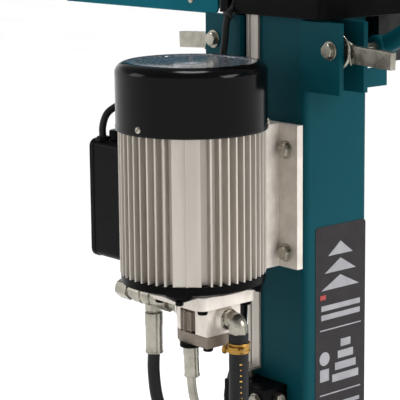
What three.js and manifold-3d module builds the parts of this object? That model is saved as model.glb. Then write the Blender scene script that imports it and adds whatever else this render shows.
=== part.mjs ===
// Vertical electric log splitter: a hydraulic ram inside a steel column pulls a wedge down onto a
// log that stands on a platform. Millimetres, +Z up, origin on the floor under the column's axis.
// The operator stands at -Y; the motor and pump hang on the column's rear (+Y) face.
import * as THREE from 'three';
import { mergeVertices } from 'three/addons/utils/BufferGeometryUtils.js';
import Module from 'manifold-3d';

const wasm = await Module();
wasm.setup();

// ---- driving dimensions -------------------------------------------------------------------
const GAP = 0.3;

const column = { half: 55, wall: 6, corner: 8, slotHalf: 17, bottom: 10 + GAP, top: 1230 };
const base = { halfX: 170, front: -340, rear: 100, thick: 10 };
const platform = { halfX: 150, front: -330, rear: -60, top: 270, thick: 12, cheek: 8 };
const wheel = { radius: 100, width: 42, track: 205, y: 150, z: 104, bore: 10, rimRadius: 66 };
const handle = { radius: 11, halfX: 45, reach: 215, low: 1130, high: 1185 };

const ram = { outer: 40, inner: 35, bottom: 60, floor: 10, glandLow: 608, top: 652 };
const rod = { radius: 15, thread: 12, shoulder: 1150, end: 1214, pistonLow: 560, pistonHigh: 598 };
const carriage = { halfX: 70, back: -58, front: -78, bottom: 850, top: 1200 };
const crosshead = { bottom: 1150 + GAP, top: 1190, half: 24, web: 14 };
const wedge = { edge: 834, top: 960, halfTop: 17, halfEdge: 1.2, front: -290 };

const housing = { halfX: 96, wall: 3, rear: 68, front: -88, bottom: 909, top: 1040, corner: 10 };
const pivot = { x: 106, z: 872, shaft: 5 };
const bracket = { outer: 122, web: 7, plate: 7, rear: 64.5, front: 16, bottom: 819, top: 905 };
const stopLug = { thick: 5, front: -18, bottom: 825, top: 848 };
const crank = { outer: 192, inner: 94, rear: 51, front: 42, bottom: 858.5, top: 879.5, droop: 0.052 };
const arm = { y: -27, tube: 12, hub: 13.5, knee: 190, kneeZ: 912, outer: 470 };
const guard = { inner: 184, outer: 540, rear: -10.7, thick: 4, bottom: 895, top: 1015 };

const motor = { x: 0, y: 192, finRadius: 89, coreRadius: 77, bore: 70, bottom: 606, top: 806, fins: 48 };
const cowl = { radius: 92, wall: 2.3, bottom: 781, top: 862, shoulder: 9 };
const foot = { halfX: 50, thick: 9.5, webHalf: 17.4, bottom: 593, top: 775, relief: 5, reliefFrom: 25 };
const footBolt = { x: 30, low: 612, high: 743, head: 9.5, headHeight: 8, shank: 5 };
const bell = { radius: 88, bottom: 584, top: 606 - GAP, seat: 26 };
const shaft = { radius: 12, bottom: 590, top: 850 };
const terminal = { x0: 90, x1: 146, y0: 150, y1: 236, z0: 605, z1: 756, wall: 3 };

const pump = { y: 175, halfX: 36, halfY: 27, bottom: 529.5, top: 567, coverBottom: 515 };
const gear = { drive: 192, driven: 162, outer: 16.6, root: 12.8, teeth: 10, bore: 17.4, low: 532, high: 556 };
const ports = { z: 550, inletX: -63, outletX: 100, capX: 166 };

const strip = { x0: 27, x1: 49, back: 55 + GAP, thick: 4, bottom: 447, top: 1000, slotHalf: 6.5 };
const valve = { x0: -22, x1: 52, rear: 98, bottom: 330, top: 436, spoolX: 38, spoolY: 68, spool: 8 };
const returnHose = { x: 72.5, y: 46.3, radius: 6.5, portY: 76, portZ: 392 };
const switchBox = { x1: 136, y0: 8, y1: 56, z0: 930, z1: 1012, startZ: 990, stopZ: 955 };
const cableRun = { x: 67, z: 960, y: 46, radius: 4.5 };

// ---- materials ----------------------------------------------------------------------------
const paint = (color, roughness, metalness) =>
  new THREE.MeshStandardMaterial({ color, roughness, metalness });
const teal = paint(0x1c5a62, 0.4, 0.3);
const black = paint(0x161617, 0.3, 0.1);
const aluminium = paint(0xaaa298, 0.5, 0.8);
const zinc = paint(0xb9b5a8, 0.35, 0.9);
const chrome = paint(0xd8d6d0, 0.12, 1);
const iron = paint(0x6d665e, 0.6, 0.7);
const brass = paint(0xb08a4a, 0.35, 0.9);
const rubber = paint(0x17171a, 0.8, 0);
const copper = paint(0x9a5a36, 0.5, 0.7);
const red = paint(0xb3261e, 0.4, 0);
const green = paint(0x1f7a3a, 0.4, 0);

// ---- helpers ------------------------------------------------------------------------------
const machine = new THREE.Group();

function toSolid(geometry) {
  const plain = geometry.clone();
  plain.deleteAttribute('normal');
  plain.deleteAttribute('uv');
  const merged = mergeVertices(plain.index ? plain.toNonIndexed() : plain, 1e-4);
  return new wasm.Manifold(new wasm.Mesh({
    numProp: 3,
    vertProperties: Float32Array.from(merged.attributes.position.array),
    triVerts: Uint32Array.from(merged.index.array),
  }));
}

function toGeometry(solid) {
  const mesh = solid.getMesh();
  const geometry = new THREE.BufferGeometry();
  geometry.setAttribute('position', new THREE.BufferAttribute(Float32Array.from(mesh.vertProperties), 3));
  geometry.setIndex(new THREE.BufferAttribute(Uint32Array.from(mesh.triVerts), 1));
  geometry.computeVertexNormals();
  return geometry;
}

const join = (...shapes) => toGeometry(shapes.map(toSolid).reduce((a, b) => a.add(b)));
const cut = (body, ...tools) => toGeometry(tools.map(toSolid).reduce((a, b) => a.subtract(b), toSolid(body)));

function add(name, geometry, material) {
  const mesh = new THREE.Mesh(geometry, material);
  mesh.name = name;
  machine.add(mesh);
  return mesh;
}

function block(x0, x1, y0, y1, z0, z1) {
  const box = new THREE.BoxGeometry(x1 - x0, y1 - y0, z1 - z0);
  return box.translate((x0 + x1) / 2, (y0 + y1) / 2, (z0 + z1) / 2);
}

// A cylinder from one point to another.
function rodBetween(from, to, radius, sides = 16) {
  const a = new THREE.Vector3(...from);
  const b = new THREE.Vector3(...to);
  const geometry = new THREE.CylinderGeometry(radius, radius, a.distanceTo(b), sides);
  const turn = new THREE.Quaternion().setFromUnitVectors(
    new THREE.Vector3(0, 1, 0), b.clone().sub(a).normalize());
  return geometry.applyQuaternion(turn).translate(...a.add(b).multiplyScalar(0.5).toArray());
}

// A closed profile of [radius, z] pairs turned about the vertical axis at x, y.
function turned(profile, x = 0, y = 0, sides = 28) {
  const points = profile.map(([r, z]) => new THREE.Vector2(r, z));
  const geometry = new THREE.LatheGeometry(points, sides);
  return geometry.rotateX(Math.PI / 2).translate(x, y, 0);
}

const ring = (inner, outer, z0, z1, x = 0, y = 0, sides = 28) =>
  turned([[inner, z0], [outer, z0], [outer, z1], [inner, z1], [inner, z0]], x, y, sides);
const disc = (outer, z0, z1, x = 0, y = 0, sides = 28) =>
  turned([[0, z0], [outer, z0], [outer, z1], [0, z1]], x, y, sides);

function outline(points) {
  return new THREE.Shape(points.map(([x, y]) => new THREE.Vector2(x, y)));
}

function raise(shape, z0, z1, curveSegments = 4) {
  const geometry = new THREE.ExtrudeGeometry(shape, {
    depth: z1 - z0, bevelEnabled: false, curveSegments });
  return geometry.translate(0, 0, z0);
}

function roundedRect(x0, x1, y0, y1, r) {
  const shape = new THREE.Shape();
  shape.moveTo(x0 + r, y0);
  shape.lineTo(x1 - r, y0);
  shape.absarc(x1 - r, y0 + r, r, -Math.PI / 2, 0);
  shape.lineTo(x1, y1 - r);
  shape.absarc(x1 - r, y1 - r, r, 0, Math.PI / 2);
  shape.lineTo(x0 + r, y1);
  shape.absarc(x0 + r, y1 - r, r, Math.PI / 2, Math.PI);
  shape.lineTo(x0, y0 + r);
  shape.absarc(x0 + r, y0 + r, r, Math.PI, Math.PI * 1.5);
  return shape;
}

// A round hose, tube or cable swept along a smooth curve through the points.
function hose(points, radius, steps, sides = 8) {
  const path = new THREE.CatmullRomCurve3(points.map((p) => new THREE.Vector3(...p)), false, 'centripetal');
  const section = new THREE.Shape();
  for (let i = 0; i < sides; i += 1) {
    const angle = (i / sides) * Math.PI * 2;
    const x = radius * Math.cos(angle);
    const y = radius * Math.sin(angle);
    if (i === 0) section.moveTo(x, y);
    else section.lineTo(x, y);
  }
  section.closePath();
  return new THREE.ExtrudeGeometry(section, { steps, extrudePath: path, bevelEnabled: false });
}

const mirrorX = (side, x0, x1) => (side < 0 ? [-x1, -x0] : [x0, x1]);

// ---- base, platform, wheels and handle ------------------------------------------------------
function buildBase() {
  const axleLug = (side) => block(...mirrorX(side, 140, 150), 60, 175, 0, 130);
  const plate = block(-base.halfX, base.halfX, base.front, base.rear, 0, base.thick);
  const lugs = [-1, 1].map((side) => cut(
    axleLug(side),
    rodBetween([side * 130, wheel.y, wheel.z], [side * 160, wheel.y, wheel.z], wheel.bore + GAP)));
  add('base_frame', join(plate, ...lugs), teal);

  const deck = block(-platform.halfX, platform.halfX, platform.front, platform.rear,
    platform.top - platform.thick, platform.top);
  const cheeks = [-1, 1].map((side) => block(
    ...mirrorX(side, platform.halfX - 20, platform.halfX - 20 + platform.cheek),
    platform.front + 10, platform.rear, base.thick + GAP, platform.top - platform.thick));
  add('log_platform', join(deck, ...cheeks), teal);
}

function buildWheels() {
  add('wheel_axle', rodBetween([-wheel.track - 30, wheel.y, wheel.z],
    [wheel.track + 30, wheel.y, wheel.z], wheel.bore), zinc);
  for (const side of [-1, 1]) {
    const name = side < 0 ? 'left' : 'right';
    const place = (geometry) => geometry.rotateY(Math.PI / 2).translate(side * wheel.track, wheel.y, wheel.z);
    const w = wheel.width / 2;
    const rim = wheel.rimRadius;
    add(`${name}_wheel_rim`, place(turned([
      [wheel.bore + GAP, -w], [24, -w], [24, -5], [rim - 8, -5], [rim - 8, -w + 4], [rim, -w + 4],
      [rim, w - 4], [rim - 8, w - 4], [rim - 8, 5], [24, 5], [24, w], [wheel.bore + GAP, w],
      [wheel.bore + GAP, -w]], 0, 0, 20)), black);
    const inner = rim + GAP;
    add(`${name}_tyre`, place(turned([
      [inner, -w + 4], [wheel.radius - 14, -w], [wheel.radius - 3, -w + 7], [wheel.radius, 0],
      [wheel.radius - 3, w - 7], [wheel.radius - 14, w], [inner, w - 4], [inner, -w + 4]], 0, 0, 20)), rubber);
  }
}

function buildHandle() {
  const y = column.half + GAP;
  const { halfX, reach, low, high } = handle;
  add('transport_handle', hose([
    [-halfX, y, low], [-halfX, y + 25, low], [-halfX, reach - 45, high - 12], [-halfX + 8, reach - 8, high],
    [-halfX + 22, reach, high], [halfX - 22, reach, high], [halfX - 8, reach - 8, high],
    [halfX, reach - 45, high - 12], [halfX, y + 25, low], [halfX, y, low]], handle.radius, 30), teal);
}

// ---- column and ram -------------------------------------------------------------------------
function buildColumn() {
  const { half, wall, corner, slotHalf, bottom, top } = column;
  const section = roundedRect(-half, half, -half, half, corner);
  const inner = half - wall;
  section.holes.push(outline([[-inner, -inner], [-inner, inner], [inner, inner], [inner, -inner]]));
  const slot = block(-slotHalf, slotHalf, -half - 1, -inner + 1, 300, top + 1);
  add('column', cut(raise(section, bottom, top), slot), teal);
  add('column_cap', raise(roundedRect(-58, 58, -58, 58, 9), top + GAP, top + 6), black);
}

function buildRam() {
  const { outer, inner, bottom, floor, top } = ram;
  add('cylinder_barrel', turned([[0, bottom], [outer, bottom], [outer, top], [inner, top],
    [inner, bottom + floor], [0, bottom + floor]]), black);
  add('cylinder_gland', turned([[rod.radius + GAP, ram.glandLow], [inner - GAP, ram.glandLow],
    [inner - GAP, top + GAP], [outer, top + GAP], [outer, top + 12], [rod.radius + GAP, top + 12],
    [rod.radius + GAP, ram.glandLow]]), iron);
  add('piston_rod', turned([[0, rod.pistonLow], [inner - GAP, rod.pistonLow], [inner - GAP, rod.pistonHigh],
    [rod.radius, rod.pistonHigh], [rod.radius, rod.shoulder], [rod.thread, rod.shoulder],
    [rod.thread, rod.end], [0, rod.end]]), chrome);
  const nut = disc(19, crosshead.top + GAP, crosshead.top + 18, 0, 0, 6);
  add('rod_nut', cut(nut, disc(rod.thread + GAP, crosshead.top - 1, rod.end, 0, 0, 24)), zinc);
}

function buildCarriage() {
  const c = carriage;
  const plate = block(-c.halfX, c.halfX, c.front, c.back, c.bottom, c.top);
  const guides = [-1, 1].map((side) => block(...mirrorX(side, 58, 68), c.back - 1, -20, 970, c.top));
  const web = block(-crosshead.web, crosshead.web, c.back - 1, 0, crosshead.bottom, crosshead.top);
  const eye = block(-crosshead.half, crosshead.half, -crosshead.half, crosshead.half,
    crosshead.bottom, crosshead.top);
  const hole = disc(rod.thread + GAP, crosshead.bottom - 5, crosshead.top + 5, 0, 0, 24);
  add('carriage', cut(join(plate, ...guides, web, eye), hole), black);

  const section = outline([[-wedge.halfEdge, wedge.edge], [wedge.halfEdge, wedge.edge],
    [wedge.halfTop, wedge.edge + 75], [wedge.halfTop, wedge.top], [-wedge.halfTop, wedge.top],
    [-wedge.halfTop, wedge.edge + 75]]);
  const depth = c.front - GAP - wedge.front;
  const blade = new THREE.ExtrudeGeometry(section, { depth, bevelEnabled: false });
  add('splitting_wedge', blade.rotateX(Math.PI / 2).translate(0, c.front - GAP, 0), black);
}

// ---- two-hand control -------------------------------------------------------------------------
function buildHousing() {
  const { halfX, wall, rear, front, bottom, top, corner } = housing;
  const shape = new THREE.Shape();
  shape.moveTo(-halfX, front);
  shape.lineTo(-halfX + wall, front);
  shape.lineTo(-halfX + wall, rear - corner);
  shape.absarc(-halfX + corner, rear - corner, corner - wall, Math.PI, Math.PI / 2, true);
  shape.lineTo(halfX - corner, rear - wall);
  shape.absarc(halfX - corner, rear - corner, corner - wall, Math.PI / 2, 0, true);
  shape.lineTo(halfX - wall, front);
  shape.lineTo(halfX, front);
  shape.lineTo(halfX, rear - corner);
  shape.absarc(halfX - corner, rear - corner, corner, 0, Math.PI / 2);
  shape.lineTo(-halfX + corner, rear);
  shape.absarc(-halfX + corner, rear - corner, corner, Math.PI / 2, Math.PI);
  shape.closePath();
  const hug = column.half + 2;
  const lid = outline([[-halfX + 1, -15], [-hug, -15], [-hug, hug], [hug, hug], [hug, -15],
    [halfX - 1, -15], [halfX - 1, rear - 5], [halfX - 5, rear - 1], [-halfX + 5, rear - 1],
    [-halfX + 1, rear - 5]]);
  const cableNotch = block(cableRun.x - 7, cableRun.x + 7, rear - wall - 1, rear + 1, bottom - 1, bottom + 18);
  const cableHole = rodBetween([halfX - wall - 1, cableRun.y, cableRun.z], [halfX + 1, cableRun.y, cableRun.z],
    cableRun.radius + 1);
  add('control_housing', cut(join(raise(shape, bottom, top, 5), raise(lid, top - wall, top)),
    cableNotch, cableHole), black);
}

function buildControlSide(side) {
  const name = side < 0 ? 'left' : 'right';
  const inner = column.half + GAP;
  const b = bracket;
  const web = block(...mirrorX(side, inner, inner + b.web), b.front, b.rear, b.bottom, b.top);
  const rearPlate = block(...mirrorX(side, inner, b.outer), b.rear - b.plate, b.rear, b.bottom, b.top);
  const frontPlate = block(...mirrorX(side, inner, b.outer), b.front, b.front + b.plate, b.bottom, b.top);
  const lug = block(...mirrorX(side, b.outer - stopLug.thick, b.outer),
    stopLug.front, b.front + b.plate, stopLug.bottom, stopLug.top);
  const px = side * pivot.x;
  const bore = rodBetween([px, b.rear + 5, pivot.z], [px, arm.y - 25, pivot.z], pivot.shaft + GAP);
  add(`${name}_pivot_bracket`, cut(join(web, rearPlate, frontPlate, lug), bore), teal);

  const head = rodBetween([px, b.rear + GAP, pivot.z], [px, b.rear + 8, pivot.z], 9.5, 6);
  const pin = rodBetween([px, b.rear + 1, pivot.z], [px, arm.y - 20, pivot.z], pivot.shaft, 16);
  add(`${name}_pivot_bolt`, join(head, pin), zinc);

  const bar = block(...mirrorX(side, crank.inner, crank.outer), crank.front, crank.rear,
    crank.bottom, crank.top);
  bar.translate(-px, 0, -pivot.z).rotateY(side * crank.droop).translate(px, 0, pivot.z);
  add(`${name}_control_crank`, cut(bar, bore), zinc);

  const hub = rodBetween([px, arm.y + 15, pivot.z], [px, arm.y - 15, pivot.z], arm.hub, 16);
  const tube = hose([[px, arm.y, pivot.z], [side * 134, arm.y, pivot.z + 12],
    [side * 163, arm.y, arm.kneeZ - 10], [side * arm.knee, arm.y, arm.kneeZ],
    [side * (arm.knee + 40), arm.y, arm.kneeZ], [side * arm.outer, arm.y, arm.kneeZ]], arm.tube, 12);
  const claw = [block(...mirrorX(side, 196, 204), -170, arm.y, arm.kneeZ - 10, arm.kneeZ + 10),
    block(...mirrorX(side, 130, 204), -178, -168, arm.kneeZ - 10, arm.kneeZ + 10)];
  const sheet = block(...mirrorX(side, guard.inner, guard.outer), guard.rear - guard.thick - 2, guard.rear,
    guard.bottom, guard.top);
  const sheetRelief = block(...mirrorX(side, guard.inner - 1, guard.outer + 1), guard.rear - guard.thick - 3,
    guard.rear - guard.thick, guard.bottom - 1, arm.kneeZ - arm.tube);
  const grip = hose([[side * arm.outer, arm.y, arm.kneeZ], [side * (arm.outer + 5), arm.y, arm.kneeZ],
    [side * (arm.outer + 20), arm.y - 30, arm.kneeZ], [side * (arm.outer + 20), arm.y - 150, arm.kneeZ]],
    arm.tube, 10);
  const lever = cut(join(hub, tube, ...claw, cut(sheet, sheetRelief), grip), bore);
  add(`${name}_control_arm`, lever, teal);
}

function buildControlStrip() {
  const s = strip;
  const bar = block(s.x0, s.x1, s.back, s.back + s.thick, s.bottom, s.top);
  const lip = block(s.x0, s.x1, s.back, 78, s.bottom, s.bottom + 4);
  const slots = [footBolt.low, footBolt.high].map((z) =>
    block(footBolt.x - s.slotHalf + 2, footBolt.x + s.slotHalf, s.back - 1, s.back + s.thick + 1, z - 9, z + 22));
  add('control_strip', cut(join(bar, lip), ...slots), zinc);

  const v = valve;
  const body = block(v.x0, v.x1, column.half + GAP, v.rear, v.bottom, v.top);
  const bore = disc(v.spool + GAP, v.bottom + 30, v.top + 5, v.spoolX, v.spoolY, 24);
  add('valve_body', cut(body, bore), black);
  add('valve_spool', disc(v.spool, v.bottom + 45, s.bottom - GAP, v.spoolX, v.spoolY, 24), zinc);
}

// ---- motor ------------------------------------------------------------------------------------
function finnedOutline() {
  const points = [];
  const pitch = (Math.PI * 2) / motor.fins;
  const at = (radius, angle) => [radius * Math.cos(angle), radius * Math.sin(angle)];
  for (let i = 0; i < motor.fins; i += 1) {
    const angle = i * pitch;
    points.push(at(motor.coreRadius, angle - pitch * 0.24), at(motor.finRadius, angle - pitch * 0.14));
    points.push(at(motor.finRadius, angle + pitch * 0.14), at(motor.coreRadius, angle + pitch * 0.24));
  }
  return outline(points);
}

function buildMotor() {
  const { x, y } = motor;
  const shape = finnedOutline();
  const bore = new THREE.Path();
  bore.absarc(0, 0, motor.bore, 0, Math.PI * 2, true);
  shape.holes.push(bore);
  const body = raise(shape, motor.bottom, motor.top, 16).translate(x, y, 0);
  const flat = block(-foot.webHalf - 2, foot.webHalf + 2, y - 100,
    y - motor.finRadius + GAP, motor.bottom - 1, foot.top + 1);
  const boxFlat = block(motor.coreRadius + 8, 120, y - 60, y + 60, terminal.z0 - 2, terminal.z1 + 2);
  add('motor_housing', cut(body, flat, boxFlat), aluminium);

  const c = cowl;
  add('fan_cowl', cut(turned([[c.radius - c.wall, c.bottom], [c.radius, c.bottom],
    [c.radius, c.top - c.shoulder], [c.radius - 3, c.top - 3], [c.radius - c.shoulder, c.top],
    [0, c.top], [0, c.top - c.wall], [c.radius - c.shoulder, c.top - c.wall],
    [c.radius - c.wall, c.top - c.shoulder], [c.radius - c.wall, c.bottom]], x, y, 40),
  ...Array.from({ length: 10 }, (_, i) => {
    const angle = (i / 10) * Math.PI * 2;
    return disc(9, c.top - 6, c.top + 4, x + 56 * Math.cos(angle), y + 56 * Math.sin(angle), 8);
  })), black);

  add('stator_core', ring(42, motor.bore - 1, 640, 740, x, y), copper);
  add('rotor', turned([[0, shaft.bottom], [shaft.radius - GAP, shaft.bottom], [shaft.radius - GAP, 640],
    [41, 640], [41, 740], [shaft.radius - GAP, 740], [shaft.radius - GAP, shaft.top], [0, shaft.top]],
  x, y), iron);
  const blade = (angle) => block(14, 78, -1.5, 1.5, 818, 842).rotateZ(angle);
  const fan = join(disc(20, 814, 844, 0, 0, 24), disc(78, 814, 817, 0, 0, 32),
    ...Array.from({ length: 7 }, (_, i) => blade((i / 7) * Math.PI * 2)));
  add('cooling_fan', cut(fan, disc(shaft.radius, 800, 860, 0, 0, 24)).translate(x, y, 0), black);
  add('upper_bearing', ring(shaft.radius, 26, 762, 776, x, y, 24), chrome);
  add('lower_bearing', ring(shaft.radius, bell.seat, 591, 605, x, y, 24), chrome);
  add('upper_end_shield', ring(26 + GAP, motor.bore - 1, 758, 778, x, y), aluminium);
  add('lower_end_bell', turned([[bell.seat + GAP, 588], [16, 588], [16, bell.bottom],
    [bell.radius - 10, bell.bottom], [bell.radius, 590], [bell.radius, bell.top],
    [bell.seat + GAP, bell.top], [bell.seat + GAP, 588]], x, y), black);
}

function buildMotorFoot() {
  const back = column.half + GAP;
  const front = back + foot.thick;
  const webFront = motor.y - motor.finRadius - GAP;
  const section = outline([[-foot.halfX, back], [foot.reliefFrom, back],
    [foot.reliefFrom, back + foot.relief], [foot.halfX, back + foot.relief], [foot.halfX, front],
    [foot.webHalf, front], [foot.webHalf, webFront], [-foot.webHalf, webFront], [-foot.webHalf, front],
    [-foot.halfX, front]]);
  const spots = [-1, 1].flatMap((side) => [footBolt.low, footBolt.high].map((z) => [side * footBolt.x, z]));
  const holes = spots.map(([x, z]) => rodBetween([x, back - 1, z], [x, front + 1, z], footBolt.shank + GAP));
  add('motor_foot', cut(raise(section, foot.bottom, foot.top), ...holes), aluminium);
  for (const [x, z] of spots) {
    const name = `motor_foot_bolt_${x < 0 ? 'left' : 'right'}_${z < 700 ? 'lower' : 'upper'}`;
    const head = rodBetween([x, front + GAP, z], [x, front + footBolt.headHeight, z], footBolt.head, 6);
    const shank = rodBetween([x, back + 0.2, z], [x, front + 1, z], footBolt.shank, 12);
    add(name, join(head, shank), zinc);
  }
}

function buildTerminalBox() {
  const t = terminal;
  const box = block(t.x0, t.x1, t.y0, t.y1, t.z0, t.z1);
  const hollow = block(t.x0 + t.wall, t.x1 + 1, t.y0 + t.wall, t.y1 - t.wall, t.z0 + t.wall, t.z1 - t.wall);
  add('terminal_box', cut(box, hollow), black);
  add('terminal_box_lid', block(t.x1 + GAP, t.x1 + 4, t.y0, t.y1, t.z0, t.z1), black);
}

// ---- pump and lines -----------------------------------------------------------------------------
function gearSolid(turn, z0, z1) {
  const points = [];
  const pitch = (Math.PI * 2) / gear.teeth;
  for (let i = 0; i < gear.teeth; i += 1) {
    for (const [radius, lean] of [[gear.root, -0.17], [gear.outer, -0.08], [gear.outer, 0.08], [gear.root, 0.17]]) {
      const angle = (i + lean) * pitch + turn;
      points.push([radius * Math.cos(angle), radius * Math.sin(angle)]);
    }
  }
  return raise(outline(points), z0, z1);
}

function buildPump() {
  const p = pump;
  const corners = new THREE.Shape();
  const far = p.y + p.halfY;
  corners.moveTo(-p.halfX, p.y - p.halfY);
  corners.lineTo(p.halfX, p.y - p.halfY);
  corners.lineTo(p.halfX, far - 20);
  corners.quadraticCurveTo(p.halfX - 4, far - 3, p.halfX - 24, far);
  corners.lineTo(-p.halfX, far);
  corners.closePath();
  const cavities = [gear.drive, gear.driven].map((y) =>
    disc(gear.bore, p.bottom - 1, gear.high + 2, 0, y, 24));
  const neck = disc(9, gear.high, p.top + 1, 0, gear.drive, 20);
  add('pump_body', cut(raise(corners, p.bottom, p.top, 6), ...cavities, neck), aluminium);
  add('pump_cover', raise(corners, p.coverBottom, p.bottom - GAP, 6), iron);
  const plate = raise(roundedRect(-50, 50, 132, 222, 12), p.top + GAP, bell.bottom - GAP);
  add('pump_flange', cut(plate, disc(13, p.top - 2, bell.bottom + 2, 0, gear.drive, 24)), aluminium);
  const turnDrive = -Math.PI / 2;
  const drive = join(gearSolid(turnDrive, gear.low, gear.high), disc(8, gear.high - 1, 586, 0, 0, 20));
  add('pump_drive_gear', drive.translate(0, gear.drive, 0), iron);
  const halfTooth = Math.PI / gear.teeth;
  add('pump_driven_gear', gearSolid(Math.PI / 2 + halfTooth, gear.low, gear.high)
    .translate(0, gear.driven, 0), iron);
}

function buildLines() {
  const { z, inletX, outletX, capX } = ports;
  const y = pump.y;
  const face = pump.halfX + GAP;
  add('inlet_elbow', join(
    rodBetween([-face, y, z], [-face - 12, y, z], 13, 16),
    rodBetween([-face - 11, y, z], [inletX, y, z], 10.5, 16),
    new THREE.SphereGeometry(11.5, 16, 10).translate(inletX, y, z),
    rodBetween([inletX, y, z], [inletX, y, z - 30], 8.5, 16)), zinc);
  add('suction_hose', cut(
    hose([[inletX, y, z - 14], [inletX, y, z - 60], [inletX, y, z - 130], [-60, 168, 370], [-44, 130, 318],
      [-30, 92, 300], [-30, 72, 298], [-30, column.half + GAP, 298]], 12, 18, 10),
    disc(8.8, z - 40, z, inletX, y, 20)), rubber);
  add('hose_clamp', ring(12 + GAP, 14.3, z - 39, z - 22, inletX, y, 24), brass);

  add('outlet_tee', join(
    rodBetween([face, y, z], [face + 28, y, z], 9, 16),
    rodBetween([face + 27, y, z], [face + 44, y, z], 13, 6),
    rodBetween([face + 43, y, z], [capX - 22, y, z], 10, 16),
    rodBetween([outletX, y, z], [outletX, y, z - 20], 9, 16),
    rodBetween([capX - 23, y, z], [capX, y, z], 13.5, 6)), zinc);
  add('pressure_hose', hose([[outletX, y, z - 20 - GAP], [outletX, y, z - 60], [outletX + 2, y, z - 100],
    [outletX - 4, y - 2, 410], [84, 160, 372], [56, 140, 356], [32, 122, 352], [30, 108, 352],
    [30, valve.rear + GAP, 352]], 8, 26, 10), rubber);
  add('drain_tube', hose([[2, 196, pump.coverBottom - GAP], [2, 196, 470], [-2, 194, 440], [-8, 186, 412],
    [-6, 160, 388], [0, 130, 376], [2, 112, 375], [2, valve.rear + GAP, 375]], 5.5, 24, 8), zinc);
  const back = returnHose;
  add('return_hose', hose([[valve.x1 + GAP, back.portY, back.portZ], [60, back.portY, back.portZ],
    [72, 73, 397], [79, 64, 414], [79, 54, 440], [75, 48, 475], [back.x, back.y, 520],
    [back.x, back.y, 700], [back.x, back.y, 985]], back.radius, 30, 10), rubber);
}

function buildElectrics() {
  const t = terminal;
  add('motor_cable', hose([[131, 227, t.z1 + GAP], [131, 227, 772], [128, 222, 788], [122, 211, 797],
    [115, 196, 801], [110, 178, 803], [104, 150, 803], [94, 122, 806], [82, 100, 816], [73, 84, 838],
    [68, 79.5, 868], [67, 77, 894], [67, 72, 908], [67, 65, 914.5], [68, 60, 924], [73, 58, 938],
    [79, 55.5, 949], [85, 49.5, 957.5], [89.5, 46.3, 959.8], [92, 46, 960], [housing.halfX - 0.6, cableRun.y, cableRun.z]],
  cableRun.radius, 48, 10), rubber);
  const s = switchBox;
  const x0 = housing.halfX + GAP;
  const body = block(x0, s.x1, s.y0, s.y1, s.z0, s.z1);
  const y = (s.y0 + s.y1) / 2;
  const wells = [s.startZ, s.stopZ].map((z) => rodBetween([s.x1 - 6, y, z], [s.x1 + 1, y, z], 10 + GAP, 20));
  add('switch_box', cut(body, ...wells), black);
  add('start_button', rodBetween([s.x1 - 3 + GAP, y, s.startZ], [s.x1 + 3.5, y, s.startZ], 10, 20), green);
  add('stop_button', rodBetween([s.x1 - 3 + GAP, y, s.stopZ], [s.x1 + 5.5, y, s.stopZ], 10, 20), red);
}

buildBase();
buildWheels();
buildHandle();
buildColumn();
buildRam();
buildCarriage();
buildHousing();
buildControlSide(-1);
buildControlSide(1);
buildControlStrip();
buildMotor();
buildMotorFoot();
buildTerminalBox();
buildPump();
buildLines();
buildElectrics();

export default machine;
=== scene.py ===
# Looks of the vertical electric log splitter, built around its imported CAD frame.
# Shapes are written in millimetres in the CAD frame and scaled to metres as they are built.
import math

import bmesh
import bpy
from mathutils import Matrix, Vector


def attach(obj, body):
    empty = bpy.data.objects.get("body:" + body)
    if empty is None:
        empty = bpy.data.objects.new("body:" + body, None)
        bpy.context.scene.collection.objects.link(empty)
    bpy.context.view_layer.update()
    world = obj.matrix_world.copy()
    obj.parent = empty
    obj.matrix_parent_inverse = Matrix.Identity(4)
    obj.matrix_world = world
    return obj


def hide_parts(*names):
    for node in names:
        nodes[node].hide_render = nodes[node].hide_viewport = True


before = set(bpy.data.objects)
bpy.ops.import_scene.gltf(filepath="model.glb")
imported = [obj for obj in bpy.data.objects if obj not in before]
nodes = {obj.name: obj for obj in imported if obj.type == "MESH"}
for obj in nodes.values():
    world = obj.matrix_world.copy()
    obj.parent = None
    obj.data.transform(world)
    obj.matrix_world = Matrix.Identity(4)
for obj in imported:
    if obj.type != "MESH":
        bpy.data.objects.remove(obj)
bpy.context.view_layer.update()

MM = 0.001
TAU = 2 * math.pi


# ---- materials --------------------------------------------------------------------------------
def linear(rgb):
    """A screen colour, 0 to 255, as linear light."""
    out = []
    for value in rgb:
        c = value / 255
        out.append(c / 12.92 if c <= 0.04045 else ((c + 0.055) / 1.055) ** 2.4)
    return (*out, 1.0)


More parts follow.
